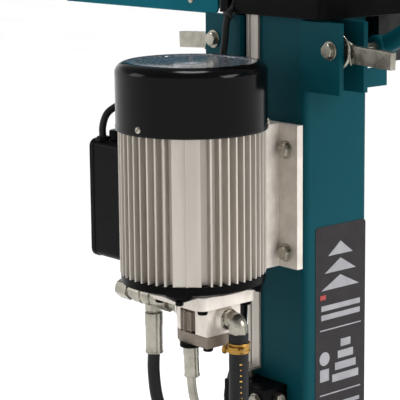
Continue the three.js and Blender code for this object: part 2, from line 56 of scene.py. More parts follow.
def surface(name, dark, light, rough, metallic=0.0, grain=40, bump=0.1, fine=900,
            stretch=(1, 1, 1), ior=1.5, wear=None, depth=0.0004):
    """Two tones mixed by a noise, uneven gloss and a fine bump; wear adds patches of a worn colour."""
    mat = bpy.data.materials.new(name)
    mat.use_nodes = True
    tree = mat.node_tree
    tree.nodes.clear()
    new, link = tree.nodes.new, tree.links.new
    out = new("ShaderNodeOutputMaterial")
    shader = new("ShaderNodeBsdfPrincipled")
    link(shader.outputs["BSDF"], out.inputs["Surface"])
    shader.inputs["Metallic"].default_value = metallic
    shader.inputs["IOR"].default_value = ior
    place = new("ShaderNodeTexCoord").outputs["Object"]
    mapping = new("ShaderNodeMapping")
    mapping.inputs["Scale"].default_value = stretch
    link(place, mapping.inputs["Vector"])

    def noise(vector, scale, detail):
        node = new("ShaderNodeTexNoise")
        node.inputs["Scale"].default_value = scale
        node.inputs["Detail"].default_value = detail
        link(vector, node.inputs["Vector"])
        return node

    broad = noise(mapping.outputs["Vector"], grain, 6)
    ramp = new("ShaderNodeValToRGB")
    ramp.color_ramp.elements[0].position = 0.32
    ramp.color_ramp.elements[1].position = 0.68
    ramp.color_ramp.elements[0].color = linear(dark)
    ramp.color_ramp.elements[1].color = linear(light)
    link(broad.outputs["Fac"], ramp.inputs["Fac"])
    colour = ramp.outputs["Color"]
    if wear:
        patches = noise(place, wear["scale"], 9)
        patches.inputs["Roughness"].default_value = 0.7
        mask = new("ShaderNodeValToRGB")
        mask.color_ramp.elements[0].position = wear["from"]
        mask.color_ramp.elements[1].position = wear["from"] + 0.06
        link(patches.outputs["Fac"], mask.inputs["Fac"])
        mix = new("ShaderNodeMix")
        mix.data_type = "RGBA"
        link(mask.outputs["Color"], mix.inputs["Factor"])
        link(colour, mix.inputs["A"])
        mix.inputs["B"].default_value = linear(wear["colour"])
        colour = mix.outputs["Result"]
    link(colour, shader.inputs["Base Color"])
    gloss = new("ShaderNodeMapRange")
    gloss.inputs["From Min"].default_value = 0.3
    gloss.inputs["From Max"].default_value = 0.7
    gloss.inputs["To Min"].default_value = rough[0]
    gloss.inputs["To Max"].default_value = rough[1]
    link(broad.outputs["Fac"], gloss.inputs["Value"])
    link(gloss.outputs["Result"], shader.inputs["Roughness"])
    fleck = noise(mapping.outputs["Vector"], fine, 3)
    relief = new("ShaderNodeBump")
    relief.inputs["Strength"].default_value = bump
    relief.inputs["Distance"].default_value = depth
    link(fleck.outputs["Fac"], relief.inputs["Height"])
    link(relief.outputs["Normal"], shader.inputs["Normal"])
    return mat


LOOKS = (  # name, darker tone, lighter tone, roughness range, and what differs from a plain surface
    ("teal_paint", (5, 62, 71), (8, 67, 76), (0.36, 0.46), dict(grain=9, bump=0.12, fine=700, ior=1.15)),
    # The guard sheets wear the same teal paint, given a lighter tone here: the extra lightness is painted
    # light falling on them.
    ("teal_guard_painted_light", (2, 88, 102), (4, 93, 108), (0.36, 0.46), dict(grain=9, bump=0.12, fine=700, ior=1.12)),
    ("black_paint", (5, 5, 6), (8, 8, 9), (0.24, 0.36), dict(grain=25, bump=0.15, fine=500, ior=1.12)),
    ("wrinkle_black", (7, 7, 8), (13, 13, 15), (0.12, 0.28),
     dict(grain=60, bump=0.9, fine=110, depth=0.0012, ior=1.3)),
    ("black_plastic", (6, 6, 7), (10, 10, 11), (0.24, 0.34),
     dict(grain=30, bump=0.08, fine=1200, ior=1.14)),
    ("cowl_black", (5, 5, 5), (8, 8, 9), (0.12, 0.18), dict(grain=12, bump=0.03, fine=300, ior=1.22)),
    # The grille is black plastic; its light blue-grey tones are a painted sheen standing for light reflected
    # off it.
    ("grille_black_painted_sheen", (60, 63, 70), (150, 156, 168), (0.05, 0.1),
     dict(grain=300, bump=0.25, fine=260, ior=2.8, metallic=0.4)),
    ("aluminium", (176, 169, 160), (200, 193, 184), (0.4, 0.55),
     dict(metallic=0.55, grain=35, bump=0.15, fine=600, stretch=(1, 1, 0.12))),
    ("cast_aluminium", (206, 198, 189), (224, 217, 208), (0.45, 0.6),
     dict(metallic=0.5, grain=70, bump=0.45, fine=900)),
    ("zinc_steel", (138, 134, 123), (172, 168, 156), (0.22, 0.36),
     dict(metallic=0.92, grain=50, bump=0.12, fine=800)),
    ("strip_zinc", (164, 158, 150), (190, 183, 174), (0.3, 0.42),
     dict(metallic=0.6, grain=60, bump=0.12, fine=500, stretch=(1, 1, 0.05))),
    ("chrome", (205, 205, 202), (222, 222, 219), (0.04, 0.09),
     dict(metallic=1.0, grain=20, bump=0.02, fine=900)),
    ("cast_iron", (116, 105, 94), (134, 122, 110), (0.5, 0.65),
     dict(metallic=0.35, grain=80, bump=0.5, fine=700)),
    ("copper_winding", (140, 74, 40), (170, 96, 54), (0.35, 0.5),
     dict(metallic=0.8, grain=90, bump=0.5, fine=500, stretch=(1, 1, 0.1))),
    ("brass", (150, 112, 48), (186, 146, 74), (0.25, 0.4), dict(metallic=0.9, grain=80, bump=0.2)),
    ("tyre", (22, 22, 23), (33, 33, 34), (0.7, 0.85),
     dict(grain=60, bump=0.5, fine=500, wear={"scale": 18, "from": 0.6, "colour": (58, 55, 50)})),
    ("hose_rubber", (15, 15, 17), (22, 22, 24), (0.4, 0.55), dict(grain=70, bump=0.4, fine=900, ior=1.3)),
    ("grip_rubber", (20, 20, 21), (28, 28, 29), (0.6, 0.75), dict(grain=60, bump=0.5, fine=700)),
    ("green_button", (18, 120, 58), (24, 132, 66), (0.25, 0.35), dict(grain=60, bump=0.05)),
    ("red_button", (176, 26, 22), (192, 34, 28), (0.25, 0.35), dict(grain=60, bump=0.05)),
    ("label_dark", (42, 39, 41), (48, 45, 47), (0.3, 0.4), dict(grain=60, bump=0.05, ior=1.2)),
    ("label_light", (142, 142, 146), (156, 156, 160), (0.35, 0.45), dict(grain=60, bump=0.05, ior=1.2)),
    ("label_red", (150, 40, 34), (164, 48, 40), (0.35, 0.45), dict(grain=60, bump=0.05)),
    ("label_amber", (196, 152, 52), (208, 166, 66), (0.35, 0.45), dict(grain=60, bump=0.05)),
    ("worn_teal", (8, 67, 75), (12, 75, 83), (0.36, 0.5),
     dict(grain=10, bump=0.2, ior=1.25, fine=500, wear={"scale": 26, "from": 0.66, "colour": (96, 92, 84)})),
)
MATS = {name: surface(name, dark, light, rough, **more) for name, dark, light, rough, more in LOOKS}

# The record's material slot of each look that isn't itself one.
SLOT_OF = {"teal_guard_painted_light": "teal_paint", "worn_teal": "teal_paint", "cowl_black": "black_plastic",
           "grille_black_painted_sheen": "black_plastic", "grip_rubber": "black_plastic", "label_dark": "black_paint",
           "cast_aluminium": "aluminium", "label_light": "aluminium", "strip_zinc": "zinc_steel",
           "label_red": "red_button", "label_amber": "brass"}


# ---- shape helpers ----------------------------------------------------------------------------
class Shape:
    """A list of closed solids, in millimetres."""

    def __init__(self):
        self.verts = []
        self.faces = []

    def add(self, verts, faces):
        first = len(self.verts)
        self.verts += [tuple(v) for v in verts]
        self.faces += [[first + i for i in face] for face in faces]
        return self

    def rings(self, rows, closed=False):
        """Joins rows of points, each a loop of the same count, into one closed skin."""
        count = len(rows[0])
        verts = [p for row in rows for p in row]
        faces = []
        steps = len(rows) if closed else len(rows) - 1
        for i in range(steps):
            a, b = i * count, ((i + 1) % len(rows)) * count
            for j in range(count):
                k = (j + 1) % count
                faces.append([a + j, a + k, b + k, b + j])
        if not closed:
            faces.append(list(range(count))[::-1])
            faces.append([(len(rows) - 1) * count + j for j in range(count)])
        return self.add(verts, faces)

    def box(self, x0, x1, y0, y1, z0, z1):
        return self.rings([[(x0, y0, z), (x1, y0, z), (x1, y1, z), (x0, y1, z)] for z in (z0, z1)])

    def slab(self, outline, x0, x1):
        """A flat outline of (y, z) points given a thickness along x."""
        return self.rings([[(x, y, z) for y, z in outline] for x in (x0, x1)])

    def turned(self, profile, origin, axis=(0, 0, 1), sides=48):
        """A closed loop of (radius, height) pairs turned about an axis; radius 0 makes a pole."""
        place = frame_on(origin, axis)
        rows = []
        for radius, height in profile:
            rows.append([place(radius * math.cos(TAU * j / sides), radius * math.sin(TAU * j / sides), height)
                         for j in range(sides)])
        solid = profile[0][0] == 0 and profile[-1][0] == 0
        return self.rings(rows, closed=not solid)

    def rod(self, start, end, radius, sides=24, chamfer=0.0):
        length = (Vector(end) - Vector(start)).length
        c = chamfer
        profile = [(0, 0), (radius, 0), (radius, length), (0, length)]
        if c:
            profile = [(0, 0), (radius - c, 0), (radius, c), (radius, length - c), (radius - c, length),
                       (0, length)]
        return self.turned(profile, start, Vector(end) - Vector(start), sides)

    def hexagon(self, start, end, radius, chamfer=1.2):
        """A hexagonal head whose outer corners are cut back at its far end."""
        place = frame_on(start, Vector(end) - Vector(start))
        length = (Vector(end) - Vector(start)).length
        rows = []
        levels = ((radius, 0), (radius, length - chamfer), (radius * 0.86, length), (radius * 0.6, length))
        for r, h in levels:
            row = []
            for j in range(24):
                angle = TAU * j / 24
                flat = math.cos(TAU / 12) / math.cos((angle % (TAU / 6)) - TAU / 12)
                reach = r * flat if h < length else r
                row.append(place(reach * math.cos(angle), reach * math.sin(angle), h))
            rows.append(row)
        return self.rings(rows)

    def tube(self, path, radius, sides=20, step=4.0, smooth=True):
        """A round tube along the points, or along a smooth curve through them."""
        line = curve_through(path, step) if smooth else [Vector(p) for p in path]
        rows = []
        normal = None
        for i, point in enumerate(line):
            ahead = line[min(i + 1, len(line) - 1)] - line[max(i - 1, 0)]
            ahead.normalize()
            if normal is None:
                normal = ahead.orthogonal().normalized()
            normal = (normal - ahead * normal.dot(ahead)).normalized()
            side = ahead.cross(normal)
            rows.append([tuple(point + normal * (radius * math.cos(TAU * j / sides))
                               + side * (radius * math.sin(TAU * j / sides))) for j in range(sides)])
        return self.rings(rows)

    def washer(self, start, axis, inner, outer, thick, sides=32):
        c = min(0.4, thick / 3)
        return self.turned([(inner, 0), (outer - c, 0), (outer, c), (outer, thick - c), (outer - c, thick),
                            (inner, thick)], start, axis, sides)


def frame_on(origin, axis):
    """Maps (across, across, along) to a point on an axis through origin."""
    along = Vector(axis).normalized()
    across = along.orthogonal().normalized()
    if abs(along.z) > 0.999:
        across = Vector((1, 0, 0))
    third = along.cross(across)
    base = Vector(origin)
    return lambda a, b, h: tuple(base + across * a + third * b + along * h)


def curve_through(path, step):
    """A centripetal Catmull-Rom curve through the points, sampled about every step millimetres."""
    pts = [Vector(p) for p in path]
    pts = [pts[0] * 2 - pts[1]] + pts + [pts[-1] * 2 - pts[-2]]
    line = []
    for i in range(1, len(pts) - 2):
        p0, p1, p2, p3 = pts[i - 1:i + 3]
        t0 = 0.0
        t1 = t0 + max((p1 - p0).length, 1e-6) ** 0.5
        t2 = t1 + max((p2 - p1).length, 1e-6) ** 0.5
        t3 = t2 + max((p3 - p2).length, 1e-6) ** 0.5
        count = max(2, int((p2 - p1).length / step))
        for k in range(count):
            t = t1 + (t2 - t1) * k / count
            a1 = p0 * ((t1 - t) / (t1 - t0)) + p1 * ((t - t0) / (t1 - t0))
            a2 = p1 * ((t2 - t) / (t2 - t1)) + p2 * ((t - t1) / (t2 - t1))
            a3 = p2 * ((t3 - t) / (t3 - t2)) + p3 * ((t - t2) / (t3 - t2))
            b1 = a1 * ((t2 - t) / (t2 - t0)) + a2 * ((t - t0) / (t2 - t0))
            b2 = a2 * ((t3 - t) / (t3 - t1)) + a3 * ((t - t1) / (t3 - t1))
            line.append(b1 * ((t2 - t) / (t2 - t1)) + b2 * ((t - t1) / (t2 - t1)))
    line.append(pts[-2].copy())
    return line


def rounded(x0, x1, y0, y1, r, steps=6):
    """A rectangle with round corners, as (x, y) points."""
    points = []
    corners = ((x1 - r, y0 + r, -90), (x1 - r, y1 - r, 0), (x0 + r, y1 - r, 90), (x0 + r, y0 + r, 180))
    for cx, cy, start in corners:
        for k in range(steps + 1):
            angle = math.radians(start + 90 * k / steps)
            points.append((cx + r * math.cos(angle), cy + r * math.sin(angle)))
    return points


def arc(cx, cz, r, a0, a1, steps=8):
    """Points of a round corner, from angle a0 to a1 in degrees."""
    return [(cx + r * math.cos(math.radians(a0 + (a1 - a0) * k / steps)),
             cz + r * math.sin(math.radians(a0 + (a1 - a0) * k / steps))) for k in range(steps + 1)]


def piece(name, shape, material, body, replaces=(), bevel=0.0, sharp=38, slot=None):
    """Builds the shape as one object that rides on a body; bevel, in millimetres, rounds sharp edges."""
    mesh = bpy.data.meshes.new(name)
    mesh.from_pydata([tuple(c * MM for c in v) for v in shape.verts], [], shape.faces)
    work = bmesh.new()
    work.from_mesh(mesh)
    bmesh.ops.remove_doubles(work, verts=work.verts, dist=1e-6)
    bmesh.ops.recalc_face_normals(work, faces=work.faces)
    work.to_mesh(mesh)
    work.free()
    obj = bpy.data.objects.new(name, mesh)
    bpy.context.scene.collection.objects.link(obj)
    finish_surface(obj, MATS[material], bevel, sharp)
    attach(obj, body)
    if replaces:
        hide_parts(*replaces)
    slot or SLOT_OF.get(material, material)
    return obj


def finish_surface(obj, material, bevel, sharp):
    """Gives the material, smooth shading and, with a bevel, rounded edges."""
    obj.data.materials.clear()
    obj.data.materials.append(material)
    for poly in obj.data.polygons:
        poly.use_smooth = True
    if bevel:
        round_edges(obj, bevel, sharp)
    else:
        obj.data.set_sharp_from_angle(angle=math.radians(sharp))
    mod = obj.modifiers.new("shading", "WEIGHTED_NORMAL")
    mod.keep_sharp = True
    mod.weight = 60


def round_edges(obj, bevel, sharp):
    """Rounds the edges that turn by more than sharp degrees; bevel is in millimetres."""
    mod = obj.modifiers.new("edges", "BEVEL")
    mod.width = bevel * MM
    mod.segments = 2
    mod.limit_method = "ANGLE"
    mod.angle_limit = math.radians(sharp)


def dress(node, material, bevel):
    """A CAD node that is shown as it is: its material, and modifiers that weld it and round its edges."""
    obj = nodes[node]
    obj.data.materials.clear()
    obj.data.materials.append(MATS[material])
    mod = obj.modifiers.new("weld", "WELD")
    mod.merge_threshold = 1e-5
    round_edges(obj, bevel, 38)
    mod = obj.modifiers.new("shading", "WEIGHTED_NORMAL")
    mod.weight = 60


# ---- driving dimensions, in millimetres -------------------------------------------------------
MOTOR_Y = 192
FIN_TIP, FIN_ROOT, HOUSING_BORE = 89, 78, 70
HOUSING_LOW, HOUSING_HIGH = 606, 806
COWL_R, COWL_LOW, COWL_TOP = 92, 781, 862
BELL_LOW, BELL_BOLTS_AT = 584, math.radians(128)
PIVOT_X, PIVOT_Z, HUB_Y = 106, 872, -27
ARM_Z = 912
PORT_Z, PUMP_Y = 550, 175
INLET_X, OUTLET_X = -63, 100
DRAIN_X, DRAIN_Y = 2, 196
PUMP_SIDE, COVER_LOW = 36, 515
VALVE_FACE, VALVE_SIDE, VALVE_LOW, VALVE_TOP = 98, 52, 330, 436
SPOOL_X, SPOOL_Y = 38, 68
RETURN_PORT_Y, RETURN_PORT_Z = 76, 392
RETURN_X, RETURN_Y = 72.5, 46.3
CONTROL_HALF, CONTROL_REAR, CONTROL_FRONT, CONTROL_LOW = 96, 68, -88, 909
WHEEL_X, WHEEL_Y, WHEEL_Z = 205, 150, 104
SIDES = (("left", -1), ("right", 1))


# ---- CAD nodes shown as they are --------------------------------------------------------------
for node, material, bevel in (
        ("column", "teal_paint", 0.8), ("base_frame", "teal_paint", 1.2), ("log_platform", "worn_teal", 1.2),
        ("left_pivot_bracket", "teal_paint", 0.9), ("right_pivot_bracket", "teal_paint", 0.9),
        ("column_cap", "black_plastic", 1.5), ("cylinder_barrel", "black_paint", 0.8),
        ("cylinder_gland", "cast_iron", 0.8), ("piston_rod", "chrome", 0.4), ("rod_nut", "zinc_steel", 0.8),
        ("carriage", "wrinkle_black", 1.2), ("splitting_wedge", "wrinkle_black", 0.5),
        ("control_housing", "black_paint", 0.7), ("left_control_crank", "zinc_steel", 0.7),
        ("right_control_crank", "zinc_steel", 0.7), ("valve_body", "black_paint", 1.5),
        ("valve_spool", "zinc_steel", 0.5), ("motor_foot", "cast_aluminium", 0.9),
        ("stator_core", "copper_winding", 0.4), ("rotor", "cast_iron", 0.4),
        ("cooling_fan", "black_plastic", 0.3), ("upper_bearing", "chrome", 0.4),
        ("lower_bearing", "chrome", 0.4), ("upper_end_shield", "aluminium", 0.4),
        ("pump_body", "cast_aluminium", 1.0), ("pump_cover", "cast_iron", 1.0),
        ("pump_flange", "cast_aluminium", 1.0), ("pump_drive_gear", "cast_iron", 0.3),
        ("pump_driven_gear", "cast_iron", 0.3), ("wheel_axle", "zinc_steel", 1.2)):
    dress(node, material, bevel)


# ---- motor ------------------------------------------------------------------------------------
def build_cowl():
    """The fan cowl's shell with its rolled top edge, the grille in its top, and its screws."""
    low, top, r = COWL_LOW, COWL_TOP, COWL_R
    corner = 14
    outer = arc(r - corner, top - corner, corner, 0, 90, 10)
    inner = arc(r - corner, top - corner, corner - 2.4, 90, 0, 10)
    profile = [(r - 2.4, low + 0.5), (r - 1.6, low), (r - 0.6, low), (r, low + 0.8), (r, low + 5),
               (r - 0.5, low + 5.8)]
    profile += [(r - 0.5, top - corner - 3)] + outer[1:] + [(r - 16, top), (r - 16.6, top - 0.8)]
    profile += [(r - 16.6, top - 2.4)] + inner
    shell = Shape().turned(profile, (0, MOTOR_Y, 0), sides=96)
    piece("fan_cowl_shell", shell, "cowl_black", "frame", ["fan_cowl"], sharp=50)

    # The grille is a dished sheet of cells with hexagonal holes, between a rim and a hub.
    pitch, hole, reach = 6.6, 2.15, 75.6
    grille = Shape()
    rows = int(reach / (pitch * 0.866)) + 1
    half = pitch / math.sqrt(3)
    z0, z1 = top - 2.2, top - 0.9
    dish = 2.6
    for row in range(-rows, rows + 1):
        for col in range(-rows, rows + 1):
            cx = pitch * (col + 0.5 * (row % 2))
            cy = pitch * 0.866 * row
            if math.hypot(cx, cy) > reach - half:
                continue
            corners, holes = [[(cx + ring * math.sin(TAU * k / 6), cy + ring * math.cos(TAU * k / 6))
                               for k in range(6)] for ring in (half, hole)]
            verts = [(x, MOTOR_Y + y, z - dish * (1 - (x * x + y * y) / reach ** 2))
                     for z in (z0, z1) for x, y in corners + holes]
            faces = []
            for k in range(6):
                n = (k + 1) % 6
                faces.append([12 + k, 12 + n, 18 + n, 18 + k])
                faces.append([n, k, 6 + k, 6 + n])
                faces.append([6 + k, 18 + k, 18 + n, 6 + n])
            grille.add(verts, faces)
    grille.turned([(reach - half - 3.2, z0 - 0.6), (reach + 0.6, z0 - 0.6), (reach + 0.6, z1 + 0.5),
                   (reach - half - 2.6, z1 + 0.5), (reach - half - 3.2, z1 + 0.2)],
                  (0, MOTOR_Y, 0), sides=72)
    grille.turned([(0, -0.3), (9, -0.3), (9, 1.6), (0, 1.6)], (0, MOTOR_Y, z0 - dish), sides=32)
    # The grille's light blue-grey colour is painted sheen over black plastic.
    piece("fan_cowl_grille", grille, "grille_black_painted_sheen", "frame")

    screws = Shape()
    for angle in (97, 225, 345):
        a = math.radians(angle)
        out = Vector((math.cos(a), math.sin(a), 0))
        spot = Vector((0, MOTOR_Y, 789)) + out * (r - 1)
        screws.turned([(0, 0), (4.2, 0), (4.2, 1.0), (3.2, 2.2), (1.6, 2.6), (1.4, 1.6), (0, 1.6)],
                      spot, out, 20)
    piece("fan_cowl_screws", screws, "zinc_steel", "frame")


def fin_angles():
    """Directions of the cooling fins, in degrees; flats face the foot, the terminal box and 135 degrees."""
    pitch = 7.2
    flats = ((270, 15), (0, 27), (135, 14.5), (315, 14.5))
    angles = []
    for i in range(50):
        angle = i * pitch + 2.7
        if all(abs((angle - mid + 180) % 360 - 180) > half for mid, half in flats):
            angles.append(angle)
    return angles + [135, 315]


def build_housing():
    """The finned aluminium tube round the stator; 86.6 is the radius of its two ribbed flats."""
    tips = sorted(fin_angles())
    outline = []
    for angle in tips:
        thin = angle in (135, 315)
        root, tip = (86.6, 88.4) if thin else (FIN_ROOT, FIN_TIP)
        half_root, half_tip = (0.9, 0.6) if thin else (2.3, 1.15)
        for radius, offset in ((root, -half_root), (tip, -half_tip), (tip, half_tip), (root, half_root)):
            a = math.radians(angle)
            lean = math.atan2(offset, radius)
            outline.append((a + lean, radius))
    for mid in (135, 315):
        for side in (-1, 1):
            outline.append((math.radians(mid + side * 11.0), 86.6 / math.cos(math.radians(11.0)) - 0.3))
            outline.append((math.radians(mid + side * 11.6), FIN_ROOT))
            outline.append((math.radians(mid + side * 5.5), 86.6 / math.cos(math.radians(5.5)) - 0.2))
    for mid, half, reach in ((270, 14, FIN_ROOT), (0, 26, FIN_ROOT)):
        for k in range(7):
            outline.append((math.radians(mid - half + 2 * half * k / 6), reach))
    outline = sorted((a % TAU, radius) for a, radius in outline)
    bore = [(a, HOUSING_BORE) for a, radius in outline]
    low, high = HOUSING_LOW, HOUSING_HIGH
    rows = []
    for points, z in ((outline, low), (outline, high), (bore, high), (bore, low)):
        rows.append([(r * math.cos(a), MOTOR_Y + r * math.sin(a), z) for a, r in points])
    body = Shape().rings(rows, closed=True)
    piece("motor_housing_fins", body, "aluminium", "frame", ["motor_housing"], bevel=0.25, sharp=30)


def build_bell():
    """End bell with four screw bosses, so that its lower edge waves."""
    sides = 144
    profile = [(26.6, 588), (16.5, 588), (16.5, BELL_LOW), (74, BELL_LOW), (81, BELL_LOW + 2), (86, 591),
               (88, 596), (88, 605.6), (26.6, 605.6)]
    rows = []
    for r, z in profile:
        row = []
        for j in range(sides):
            a = TAU * j / sides
            lobe = max(0.0, math.cos(4 * (a - BELL_BOLTS_AT))) ** 3
            reach, height = r, z
            if 70 < r < 87:
                reach = r - 5 + 5 * lobe
                height = z + 4.5 * (1 - lobe) * (1 if z < 590 else 0.5)
            row.append((reach * math.cos(a), MOTOR_Y + reach * math.sin(a), height))
        rows.append(row)
    bell = Shape().rings(rows, closed=True)
    piece("end_bell_cast", bell, "black_paint", "frame", ["lower_end_bell"], sharp=45)
    bolts = Shape()
    for k in range(4):
        a = BELL_BOLTS_AT + TAU * k / 4
        x, y = 80.5 * math.cos(a), MOTOR_Y + 80.5 * math.sin(a)
        bolts.hexagon((x, y, BELL_LOW + 3.5), (x, y, BELL_LOW - 1.5), 5.0, 0.8)
    piece("end_bell_bolts", bolts, "black_paint", "frame")


def build_foot_bolts():
    """Four hex bolts, each with its washer on the foot's face and its shank in the column's wall."""
    out = Vector((0, 1, 0))
    for x, tag in ((-30, "left"), (30, "right")):
        for z, level in ((612, "lower"), (743, "upper")):
            base = Vector((x, 64.9, z))
            bolt = Shape().washer(base + out * 0.1, out, 2.0, 11.5, 1.8)
            bolt.hexagon(base + out * 1.9, base + out * 8.0, 9.3, 1.0)
            bolt.rod(base - out * 9.2, base + out * 2, 5, 24, 0.6)
            piece(f"foot_bolt_{tag}_{level}", bolt, "zinc_steel", "frame",
                  [f"motor_foot_bolt_{tag}_{level}"], sharp=30)


def build_terminal_box():
    """The terminal box with its neck to the motor, cable gland, blanking plug, lid and lid screws."""
    x0, x1, y0, y1, z0, z1 = 90, 146, 150, 236, 605, 756
    body = Shape()
    section = rounded(y0 + 1, y1 - 1, z0 + 1, z1 - 1, 9)
    rim = rounded(y0, y1, z0, z1, 10)
    body.rings([[(x0, y, z) for y, z in section], [(x1 - 6, y, z) for y, z in section],
                [(x1 - 5, y, z) for y, z in rim], [(x1, y, z) for y, z in rim]])
    body.slab(rounded(y0 + 14, y1 - 14, z0 + 40, z1 - 40, 8), 79, x0 + 1)
    body.rod((118, 214, z1 - 1.5), (118, 214, z1 + 12), 10.5, 32, 1.5)
    body.hexagon((131, 227, z1 - 1.5), (131, 227, z1 + 4), 8.0, 0.8)
    piece("terminal_box_body", body, "black_plastic", "frame", ["terminal_box"], bevel=1.2, sharp=40)
    lid = Shape()
    flat = rounded(y0 + 4, y1 - 4, z0 + 4, z1 - 4, 7)
    lid.rings([[(x1 + 0.3, y, z) for y, z in rim], [(x1 + 2.2, y, z) for y, z in rim],
               [(x1 + 4, y, z) for y, z in flat]])
    piece("terminal_box_cover", lid, "black_plastic", "frame", ["terminal_box_lid"], bevel=0.8, sharp=28)
    screws = Shape()
    for y in (y0 + 11, y1 - 11):
        for z in (z0 + 11, z1 - 11):
            screws.turned([(0, 0), (3.6, 0), (3.4, 1.1), (1.5, 1.5), (1.3, 0.8), (0, 0.8)],
                          (x1 + 3.6, y, z), (1, 0, 0), 20)
    piece("terminal_box_screws", screws, "zinc_steel", "frame")


build_cowl()
build_housing()
build_bell()
build_foot_bolts()
build_terminal_box()


# ---- pump, fittings and hoses -----------------------------------------------------------------
def hose_piece(name, node, path, diameter, material="hose_rubber", step=6.0):
    """A hose or cable that is held at both ends."""
    line = curve_through(path, step)
    length = sum((b - a).length for a, b in zip(line, line[1:]))
    obj = piece(name, Shape().tube(path, diameter / 2, 24, step), material, "frame", [node])
    [c * MM for c in path[0]]
    [[c * MM for c in p] for p in line]


def ferrule(start, end, radius, into):
    """A long plain hose sleeve, pressed a little narrower over its lower two thirds."""
    length = (Vector(end) - Vector(start)).length
    profile = [(0, 0), (radius * 0.9, 0), (radius, 1.2), (radius, length * 0.3),
               (radius * 0.95, length * 0.34), (radius * 0.95, length - 4), (radius, length - 3),
               (radius, length - 0.8), (radius * 0.92, length), (0, length)]
    into.turned(profile, start, Vector(end) - Vector(start), 40)


def build_fittings():
    y, z = PUMP_Y, PORT_Z
    elbow = Shape()
    elbow.turned([(0, 0), (13, 0), (13, 10), (12.2, 11.5), (0, 11.5)],
                 (-PUMP_SIDE - 0.3, y, z), (-1, 0, 0), 40)
    elbow.hexagon((-47, y, z), (-54, y, z), 12.4, 1.0)
    bend = [(-50, y, z), (-57, y, z), (INLET_X + 1.5, y, z - 1.2), (INLET_X, y, z - 5), (INLET_X, y, z - 12)]
    elbow.tube(bend, 10.6, 28, 1.5)
    elbow.hexagon((INLET_X, y, z - 4), (INLET_X, y, z - 15), 12.0, 0.8)
    elbow.rod((INLET_X, y, z - 14), (INLET_X, y, z - 30), 8.5, 28)
    piece("inlet_elbow_fitting", elbow, "zinc_steel", "frame", ["inlet_elbow"], sharp=32)

    tee = Shape()
    tee.rod((PUMP_SIDE + 0.3, y, z), (65, y, z), 9.0, 32, 0.6)
    tee.hexagon((46, y, z), (55, y, z), 11.6, 0.8)
    tee.hexagon((63, y, z), (80, y, z), 13.0, 1.0)
    tee.turned([(0, 0), (11.4, 0), (11.8, 1), (11.8, 14), (10.6, 15), (10.6, 17), (12.6, 18), (12.6, 32),
                (11.8, 33), (10.8, 34), (10.8, 36), (12.8, 37), (12.8, 51), (11.8, 52), (10, 52), (10, 64),
                (0, 64)], (80, y, z), (1, 0, 0), 40)
    tee.hexagon((144, y, z), (166, y, z), 13.4, 2.0)
    tee.rod((OUTLET_X, y, z), (OUTLET_X, y, z - 20), 8.6, 32, 0.6)
    tee.hexagon((OUTLET_X, y, z - 9), (OUTLET_X, y, z - 18), 11.0, 0.8)
    piece("outlet_tee_fitting", tee, "zinc_steel", "frame", ["outlet_tee"], sharp=32)

    sleeves = Shape()
    ferrule((OUTLET_X, y, 530.5), (OUTLET_X, y, 476), 11.6, sleeves)
    ferrule((DRAIN_X, DRAIN_Y, 511), (DRAIN_X - 1.4, DRAIN_Y - 0.6, 472), 9.6, sleeves)
    ferrule((30, 113, 352), (30, 99, 352), 11.5, sleeves)
    sleeves.turned([(5.8, 0), (8.6, 0), (9, 1), (9, 9), (8, 10), (5.8, 10)],
                   (DRAIN_X, VALVE_FACE + 0.2, 375), (0, 1, 0), 32)
    piece("hose_sleeves", sleeves, "zinc_steel", "frame", sharp=32)

    heads = Shape()
    heads.rod((DRAIN_X, DRAIN_Y, COVER_LOW), (DRAIN_X, DRAIN_Y, COVER_LOW - 4.5), 13.5, 32, 0.6)
    for x, at in ((-24, 190), (-24, 156), (26, 186), (26, 156)):
        heads.hexagon((x, at, COVER_LOW + 0.2), (x, at, COVER_LOW - 6.5), 6.3, 0.9)
    for x, at in ((-40, 212), (40, 212), (-40, 142), (40, 142)):
        heads.hexagon((x, at, 567.6), (x, at, 561.5), 6.3, 0.9)
    piece("pump_bolts", heads, "black_paint", "frame")

    boss = Shape()
    boss.turned([(10, 0), (15.5, 0), (15.5, 3), (14.2, 6), (13.2, 9), (10, 9)],
                (-PUMP_SIDE - 0.1, y, z), (-1, 0, 0), 48)
    boss.turned([(9.2, 0), (15.5, 0), (15.5, 3), (13.2, 5), (9.2, 5)],
                (PUMP_SIDE + 0.1, y, z), (1, 0, 0), 48)
    piece("pump_port_bosses", boss, "cast_aluminium", "frame", sharp=32)

    clamp = Shape()
    clamp.turned([(12.15, 0), (13.6, 0), (13.9, 0.6), (13.9, 3.2), (13.3, 3.8), (13.3, 8.2), (13.9, 8.8),
                  (13.9, 11.4), (13.6, 12), (12.15, 12)], (INLET_X, y, 513), (0, 0, 1), 48)
    out = Vector((-0.45, 0.89, 0)).normalized()
    spot = Vector((INLET_X, y, 519)) + out * 15.5
    across = Vector((out.y, -out.x, 0))
    clamp.rod(spot - across * 9, spot + across * 10, 3.4, 24, 0.6)
    clamp.hexagon(spot + across * 10, spot + across * 14, 5.2, 0.8)
    clamp.hexagon(spot - across * 9, spot - across * 13, 4.6, 0.8)
    for k in range(-2, 3):
        clamp.washer(spot + across * (k * 2.6), across, 2.0, 3.9, 1.2, 20)
    piece("suction_hose_clamp", clamp, "brass", "frame", ["hose_clamp"], sharp=32)

    marks = Shape()
    a = math.radians(150)
    outward = Vector((math.cos(a), math.sin(a), 0))
    along = Vector((-math.sin(a), math.cos(a), 0))
    for k in range(9):
        centre = Vector((INLET_X, y, 500 - 7 * k)) + outward * 12.05
        half = (1.5, 0.5, 1.0)[k % 3]
        marks.rings([[tuple(centre + along * (s * half) + outward * n + Vector((0, 0, t)))
                      for s, n in ((-1, -0.3), (1, -0.3), (1, 0.25), (-1, 0.25))] for t in (-0.8, 0.8)])
    piece("suction_hose_marks", marks, "label_amber", "frame")


